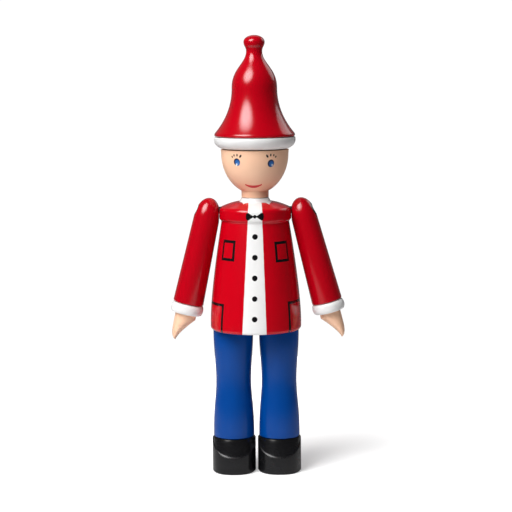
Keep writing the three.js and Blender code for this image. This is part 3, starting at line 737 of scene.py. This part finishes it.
# Hat: a white rolled brim ring and a red bell with a knob, turned apart so that each could be
# sprayed in its own colour. One dowel through the brim holds both on the head.
brim_low, brim_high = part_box("hat_brim")
bell_low, bell_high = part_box("hat_crown")
brim_widest = brim_low.z + 4.3 * MM
brim_foot_radius = 13.4 * MM
brim_top_radius = 18.2 * MM
bell_seat = bell_low.z - 0.2 * MM
bell_edge_radius = 1.7 * MM
bell_edge_height = 0.7 * MM
bell_edge = at(bell_high.x - bell_edge_radius, bell_seat + bell_edge_height)
bell_flare_angle = 40
bell_waist = at(10.3 * MM, bell_low.z + 21.85 * MM)
bell_neck = at(3.65 * MM, bell_low.z + 38.3 * MM)
knob = at(4.8 * MM, bell_low.z + 42.45 * MM)
# A darker red than the coat's, for the bell and the sleeves, as painted shade
SHADE_DARKENED_RED = (0.48, 0.0, 0.0075)

white_enamel = enamel("white satin enamel", WHITE, roughness=0.38, gloss=0.1)
brim_side = at(brim_high.x, brim_widest)
brim_profile = [
    at(hat_bore, brim_low.z),
    *rolled(at(brim_foot_radius, brim_widest), brim_high.x - brim_foot_radius,
            brim_widest - brim_low.z, -90, 0, points=24),
    *swept(brim_side, at(brim_high.x, brim_high.z), at(brim_top_radius, brim_high.z), points=10)[1:],
    at(hat_bore, brim_high.z),
    at(hat_bore, brim_low.z)]
brim = piece_of(turned(brim_profile), "brim_white", white_enamel)
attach(brim, "head")
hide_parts("hat_brim")

# The bell's red is darkened as painted shade
bell_enamel = enamel("red satin enamel darkened as painted shade", SHADE_DARKENED_RED, **RED_FINISH)
bell_roll = rolled(bell_edge, bell_edge_radius, bell_edge_radius, 0, bell_flare_angle, points=10)
flare_rise = (bell_roll[-1].x - bell_waist.x) / math.tan(math.radians(bell_flare_angle))
bell_flare_pull = at(bell_waist.x, bell_roll[-1].z + flare_rise)
bell_profile = [
    at(0, bell_low.z + hat_bore_depth),
    at(hat_bore, bell_low.z + hat_bore_depth),
    at(hat_bore, bell_seat),
    *rolled(bell_edge, bell_edge_radius, bell_edge_height, -90, 0, points=12),
    *bell_roll[1:],
    *swept(bell_roll[-1], bell_flare_pull, bell_waist, points=30)[1:],
    *eased(bell_waist, bell_neck, start_hold=0.53, end_hold=0.33, points=30)[1:],
    *eased(bell_neck, knob, start_hold=0.47, end_hold=0.47, points=14)[1:],
    *rolled(at(0, knob.z), knob.x, bell_high.z - knob.z, 0, 90, points=14)[1:]]
bell = piece_of(turned(bell_profile), "bell_red", bell_enamel)
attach(bell, "head")
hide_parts("hat_crown")


# Arms: tapered sleeves with a flat against the yoke, white cuff rings and carved hands. The hand's
# tenon goes through the cuff into the sleeve, and all three are glued into one arm. The sleeves take
# the coat's red darkened as painted shade. Round the mouth of the hole that is counterbored for the
# screw, a dark ring is painted on the outside of the sleeve as painted shade.
sleeve_length = 44 * MM
sleeve_top_radius = 5.9 * MM
sleeve_end_radius = 7 * MM
sleeve_dome = 9.3 * MM
sleeve_dome_below = 3.9 * MM
sleeve_edge = 0.4 * MM
shoulder_flat = 16.6 * MM
screw_seat = 2.5 * MM
screw_head_bore = 2.25 * MM
# How far the painted shade round each bore's mouth reaches
bore_rims = {"left": 3.4 * MM, "right": 2.6 * MM}
cuff_length = 4.6 * MM
cuff_radius = 7.5 * MM
cuff_roll = 1.0 * MM
hand_length = 12.5 * MM
heel_of_hand = 2.1 * MM
wrist_radius = 4.85 * MM
back_curve = 5
palm_curve = 1.35
edge_curve = 2.5
fingertip_offset = 2.2 * MM
fingertip_half_depth = 1.6 * MM
fingertip_share = 0.9985
hand_bore = 2.8 * MM
hand_bore_depth = 9.5 * MM
hand_tenon_radius = 2.5 * MM
hand_tenon_top = 14.2 * MM
HAND_CORNERS = 48
HAND_RINGS = 28
# Painted shade round the mouth of the screw's bore
BORE_SHADE = (0.012, 0.006, 0.006)


def sliced(bm, point, outwards):
    """Cuts off what lies beyond a plane and closes the cut."""
    cut = bmesh.ops.bisect_plane(bm, geom=bm.verts[:] + bm.edges[:] + bm.faces[:],
                                 plane_co=point, plane_no=outwards, clear_outer=True)
    rim = [part for part in cut["geom_cut"] if isinstance(part, bmesh.types.BMEdge)]
    bmesh.ops.edgeloop_fill(bm, edges=rim)
    bmesh.ops.recalc_face_normals(bm, faces=bm.faces)


def hand_ring(side, share):
    """A section of the hand: the back stays straight and the palm is swept in to the fingertip."""
    back = fingertip_offset + (wrist_radius - fingertip_offset) * math.sqrt(1 - share ** back_curve)
    palm_share = max(0.0, (share * hand_length - heel_of_hand) / (hand_length - heel_of_hand))
    palm = (fingertip_offset + wrist_radius) * (1 - (1 - palm_share) ** palm_curve) - wrist_radius
    thinning = math.sqrt(1 - share ** edge_curve)
    half_depth = fingertip_half_depth + (wrist_radius - fingertip_half_depth) * thinning
    middle = side * (back + palm) / 2
    half_width = (back - palm) / 2
    return lambda angle: Vector((
        middle + math.cos(angle) * half_width, math.sin(angle) * half_depth, -share * hand_length))


def sleeve_enamel(side_name):
    """Red enamel darkened as painted shade, with a ring of painted shade where the screw's bore cuts
    through it.
    """
    rim_softness = 0.05
    bore_rim = bore_rims[side_name]
    material = enamel(f"deep red satin enamel, {side_name} bore rim", SHADE_DARKENED_RED, **RED_FINISH)
    tree, shader, place = nodes_of(material)
    x, y, height = add_node(tree, "ShaderNodeSeparateXYZ", {0: place}).outputs
    side_view = add_node(tree, "ShaderNodeCombineXYZ", {0: y, 1: height}).outputs[0]
    rim = dab_mask(tree, side_view, (0, shoulder.z), (bore_rim, bore_rim), 0, rim_softness)
    outside = calc(tree, "GREATER_THAN", calc(tree, "ABSOLUTE", x), shoulder.x)
    laid_over(tree, shader, calc(tree, "MULTIPLY", rim, outside), BORE_SHADE)
    return material


skin_enamel = enamel("skin satin enamel", SKIN, **SKIN_FINISH)
sleeve_foot = at(sleeve_end_radius - sleeve_edge, sleeve_edge - sleeve_length)
sleeve_profile = [
    at(0, hand_bore_depth - sleeve_length),
    at(hand_bore, hand_bore_depth - sleeve_length),
    at(hand_bore, -sleeve_length),
    *rolled(sleeve_foot, sleeve_edge, sleeve_edge, -90, 0, points=5),
    *rolled(at(0, -sleeve_dome_below), sleeve_top_radius, sleeve_dome, 0, 90, points=24)]
cuff_middle = at(cuff_radius - cuff_roll, -cuff_length / 2)
cuff_profile = [
    at(hand_bore, -cuff_length),
    *rolled(cuff_middle, cuff_roll, cuff_length / 2, -90, 90, points=20),
    at(hand_bore, 0),
    at(hand_bore, -cuff_length)]
hand_shares = [fingertip_share * math.cos(math.pi / 2 * step / HAND_RINGS)
               for step in range(HAND_RINGS + 1)]
for side_name, side in SIDES.items():
    pivot = shoulder_point(side, shoulder.x)
    cuff_low, cuff_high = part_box(f"{side_name}_cuff")
    to_cuff = (cuff_low + cuff_high) / 2 - pivot
    splay = math.atan2(abs(to_cuff.x), -to_cuff.z)
    hang = Matrix.Translation(pivot) @ Matrix.Rotation(-side * splay, 4, "Y")
    cuff_start = to_cuff.length - cuff_length / 2
    hand_start = cuff_start + cuff_length + running_gap

    bm = turned(sleeve_profile)
    bmesh.ops.transform(bm, matrix=hang, verts=bm.verts)
    sliced(bm, point=(side * shoulder_flat, 0, 0), outwards=(-side, 0, 0))
    sleeve = piece_of(bm, f"{side_name}_sleeve_red", sleeve_enamel(side_name))
    inside = shoulder_point(side, 0)
    outside = shoulder_point(side, 2 * shoulder.x)
    head_seat = shoulder_point(side, shoulder.x + screw_seat)
    drilled(sleeve, [
        drill_bit("screw_drill", screw_bore, inside, outside),
        drill_bit("screw_head_drill", screw_head_bore, head_seat, outside)])
    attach(sleeve, f"{side_name}_arm")
    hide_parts(f"{side_name}_sleeve")

    bm = turned(cuff_profile)
    bmesh.ops.transform(bm, matrix=hang @ Matrix.Translation((0, 0, -cuff_start)), verts=bm.verts)
    cuff = piece_of(bm, f"{side_name}_cuff_white", white_enamel)
    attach(cuff, f"{side_name}_arm")
    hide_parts(f"{side_name}_cuff")

    hand_rings = [hand_ring(side, share) for share in hand_shares]
    hand_rings += [round_ring(hand_tenon_radius, height) for height in (0, hand_tenon_top)]
    bm = lofted(hand_rings, HAND_CORNERS)
    bmesh.ops.transform(bm, matrix=hang @ Matrix.Translation((0, 0, -hand_start)), verts=bm.verts)
    hand = piece_of(bm, f"{side_name}_hand_skin", skin_enamel)
    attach(hand, f"{side_name}_arm")
    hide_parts(f"{side_name}_hand")


# Shoulder fixings: a slotted screw of blackened steel, on which each arm swings, and a black fibre
# washer that the sleeve's flat turns against. The washer is let into the yoke, with a crowned face,
# and trimmed level with the yoke's top.
screw_low, screw_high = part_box("left_shoulder_screw")
screw_radius = 1.3 * MM
screw_head_radius = screw_high.z - shoulder.z
screw_head_height = 1.7 * MM
screw_head_round = 0.6 * MM
screw_head_seat = screw_high.x - screw_head_height
screw_length = screw_head_seat - screw_low.x
slot_width = 0.5 * MM
slot_depth = 0.7 * MM
washer_thickness = washer_high.x - washer_low.x
washer_round = 0.12 * MM
washer_crown = 0.22 * MM
DARK_STEEL = (0.035, 0.035, 0.04)
WORN_STEEL = (0.05, 0.05, 0.055)
FIBRE = (0.012, 0.012, 0.012)
FIBRE_TOOTH = (0.03, 0.03, 0.03)


def blackened_steel():
    """Steel blackened in oil: dark and cloudy, with a worn sheen."""
    roughness_range = (0.3, 0.5)
    material = finish("blackened steel")
    tree, shader, place = nodes_of(material)
    shader.inputs["Metallic"].default_value = 1.0
    cloud = noise(tree, place, scale=1500.0, detail=3.0)
    tree.links.new(mixed(tree, cloud, DARK_STEEL, WORN_STEEL), shader.inputs["Base Color"])
    tree.links.new(ramp(tree, cloud, 0.0, 1.0, *roughness_range), shader.inputs["Roughness"])
    return material


def black_fibre():
    """Pressed fibre: matt black with a fine felt-like tooth."""
    material = finish("black fibre")
    tree, shader, place = nodes_of(material)
    tooth = noise(tree, place, scale=3500.0, detail=4.0)
    tree.links.new(mixed(tree, tooth, FIBRE, FIBRE_TOOTH), shader.inputs["Base Color"])
    shader.inputs["Roughness"].default_value = 0.8
    raised(tree, shader, tooth, distance=0.03 * MM, strength=0.5)
    return material


steel = blackened_steel()
fibre = black_fibre()
screw_head_edge = at(screw_head_radius - screw_head_round, screw_head_height - screw_head_round)
screw_profile = [
    at(0, -screw_length),
    at(screw_radius / 2, -screw_length),
    at(screw_radius, screw_radius - screw_length),
    at(screw_radius, 0),
    at(screw_head_radius, 0),
    *rolled(screw_head_edge, screw_head_round, screw_head_round, 0, 90, points=8),
    at(0, screw_head_height)]
washer_profile = [
    at(screw_bore, 0),
    at(washer_radius - washer_round, 0),
    at(washer_radius, washer_round),
    at(washer_radius, washer_thickness - washer_round),
    at(washer_radius - washer_round, washer_thickness),
    at(washer_radius - 3 * washer_round, washer_thickness + washer_crown),
    at(screw_bore, washer_thickness + washer_crown),
    at(screw_bore, 0)]
for side_name, side in SIDES.items():
    level = Matrix.Rotation(side * math.pi / 2, 4, "Y")
    bm = turned(screw_profile)
    seat = Matrix.Translation(shoulder_point(side, screw_head_seat))
    bmesh.ops.transform(bm, matrix=seat @ level, verts=bm.verts)
    screw = piece_of(bm, f"{side_name}_screw_dark", steel)
    # The cutter is centred on the face of the head and reaches past it on both sides
    bm = bmesh.new()
    slot_size = Matrix.Diagonal((slot_depth * 2, screw_head_radius * 3, slot_width, 1))
    slot_middle = Matrix.Translation(shoulder_point(side, screw_high.x))
    bmesh.ops.create_cube(bm, size=1.0, matrix=slot_middle @ slot_size)
    drilled(screw, [piece_of(bm, "slot_cutter", steel)])
    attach(screw, "trunk")
    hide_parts(f"{side_name}_shoulder_screw")

    bm = turned(washer_profile)
    seat = Matrix.Translation(shoulder_point(side, washer_low.x))
    bmesh.ops.transform(bm, matrix=seat @ level, verts=bm.verts)
    sliced(bm, point=(0, 0, yoke_top), outwards=(0, 0, 1))
    washer = piece_of(bm, f"{side_name}_washer_dark", fibre)
    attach(washer, "trunk")
    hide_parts(f"{side_name}_shoulder_washer")


# Floor: a round of pale studio floor that ends a little in front of the figure. The camera sees it
# whitened, so that its edge is lost in the background. A share of that glow lights the figure, and
# the paint mirrors the floor's true grey.
floor_radius = 0.25
floor_middle = Vector((0, 0.04, 0))
floor_bounce = 0.35
glow_start = 0.02
glow_end = 0.16
glow_at_feet = 0.36
FLOOR_GREY = (0.6, 0.6, 0.6)
FLOOR_WHITE = (0.9, 0.9, 0.9)


def studio_floor():
    """Matt floor paint that glows as painted light, whiter further and further away from the figure."""
    material = finish("pale studio floor")
    tree, shader, place = nodes_of(material)
    shader.inputs["Roughness"].default_value = 0.9
    shader.inputs["Specular IOR Level"].default_value = 0.1
    shader.inputs["Emission Color"].default_value = (1, 1, 1, 1)
    from_figure = add_node(tree, "ShaderNodeVectorMath", {0: place}, operation="LENGTH")
    glow_away = ramp(tree, from_figure.outputs["Value"], glow_start, glow_end, glow_at_feet, 1.0)
    ray = add_node(tree, "ShaderNodeLightPath").outputs
    unmirrored = calc(tree, "SUBTRACT", 1.0, ray["Is Glossy Ray"])
    share = ramp(tree, ray["Is Camera Ray"], 0.0, 1.0, floor_bounce, 1.0)
    glow = calc(tree, "MULTIPLY", calc(tree, "MULTIPLY", glow_away, unmirrored), share)
    tree.links.new(glow, shader.inputs["Emission Strength"])
    tree.links.new(mixed(tree, unmirrored, FLOOR_GREY, FLOOR_WHITE), shader.inputs["Base Color"])
    return material


bm = bmesh.new()
bmesh.ops.create_circle(bm, cap_ends=True, segments=96, radius=floor_radius,
                        matrix=Matrix.Translation(floor_middle))
floor = piece_of(bm, "floor", studio_floor())


# Lights: a large oval soft box high on the left of the camera, one behind on the right that rims
# the turned edges, and a faint panel above from behind. The studio is white for the camera, dim
# where gloss mirrors it, and a soft warm fill from below for matt paint.
figure_middle = Vector((0, 0, 0.11))
key_width = 0.74
key_height = 0.86
key_distance = 0.9
key_spacing = 0.01
key_layers = ((1.0, 3.0), (0.86, 3.4), (0.7, 3.0), (0.5, 2.2))
backdrop_span = (0.2, 0.8)
backdrop_tones = (0.03, 0.14)
fill_span = (-0.5, 0.1)
fill_tones = (0.25, 0.04)
camera_white = 1.05
NEUTRAL = (1, 1, 1)
WARM = (1.08, 0.97, 0.96)


def soft_box(name, azimuth, elevation, distance, width, height, radiance):
    """An oval soft box turned towards the figure. Azimuth 0 is in front, 90 on the right."""
    turn, climb = math.radians(azimuth), math.radians(elevation)
    away = Vector((math.sin(turn) * math.cos(climb), -math.cos(turn) * math.cos(climb), math.sin(climb)))
    lamp = bpy.data.lights.new(name, "AREA")
    lamp.shape = "ELLIPSE"
    lamp.size = width
    lamp.size_y = height
    face_area = math.pi / 4 * width * height
    lamp.energy = radiance * math.pi * face_area
    box = bpy.data.objects.new(name, lamp)
    facing = away.to_track_quat("Z", "Y").to_matrix().to_4x4()
    box.matrix_world = Matrix.Translation(figure_middle + away * distance) @ facing
    bpy.context.scene.collection.objects.link(box)


def bright_studio():
    """Surroundings that differ for the camera, for gloss and for matt paint."""
    studio = bpy.data.worlds.new("bright studio")
    studio.use_nodes = True
    tree = studio.node_tree
    background = tree.nodes["Background"]
    direction = add_node(tree, "ShaderNodeTexCoord").outputs["Generated"]
    way = add_node(tree, "ShaderNodeSeparateXYZ", {0: direction}).outputs
    ray = add_node(tree, "ShaderNodeLightPath").outputs
    backdrop = ramp(tree, way["Y"], *backdrop_span, *backdrop_tones)
    fill = ramp(tree, way["Z"], *fill_span, *fill_tones)
    unseen = ramp(tree, ray["Is Diffuse Ray"], 0.0, 1.0, backdrop, fill)
    glow = ramp(tree, ray["Is Camera Ray"], 0.0, 1.0, unseen, camera_white)
    tree.links.new(glow, background.inputs["Strength"])
    tree.links.new(mixed(tree, ray["Is Diffuse Ray"], NEUTRAL, WARM), background.inputs["Color"])
    return studio


# The key is brightest in its middle, so it is built up from ever smaller boxes
for share, radiance in key_layers:
    soft_box("key", azimuth=-41, elevation=44, distance=key_distance - key_spacing * share,
             width=key_width * share, height=key_height * share, radiance=radiance)
soft_box("rim", azimuth=128, elevation=31, distance=0.8, width=0.48, height=0.44, radiance=1.4)
soft_box("top panel", azimuth=180, elevation=45, distance=0.8, width=0.6, height=0.4, radiance=0.3)
scene = bpy.context.scene
scene.view_settings.view_transform = "Standard"
scene.world = bright_studio()


# Camera: a long lens a little below the top of the hat, tilted down to the feet, hung with a
# slight roll so that the figure leans as it does in the photograph.
camera_place = Vector((0.21 * MM, -760 * MM, 193.94 * MM))
camera_look_down = 7.05
camera_tilt = math.radians(90 - camera_look_down)
camera_roll = math.radians(-0.4)
camera_data = bpy.data.cameras.new("camera")
camera_data.lens = 117.5
camera_data.sensor_width = 36
camera = bpy.data.objects.new("camera", camera_data)
camera_turn = Matrix.Rotation(camera_tilt, 4, "X") @ Matrix.Rotation(camera_roll, 4, "Z")
camera.matrix_world = Matrix.Translation(camera_place) @ camera_turn
scene.collection.objects.link(camera)
scene.camera = camera
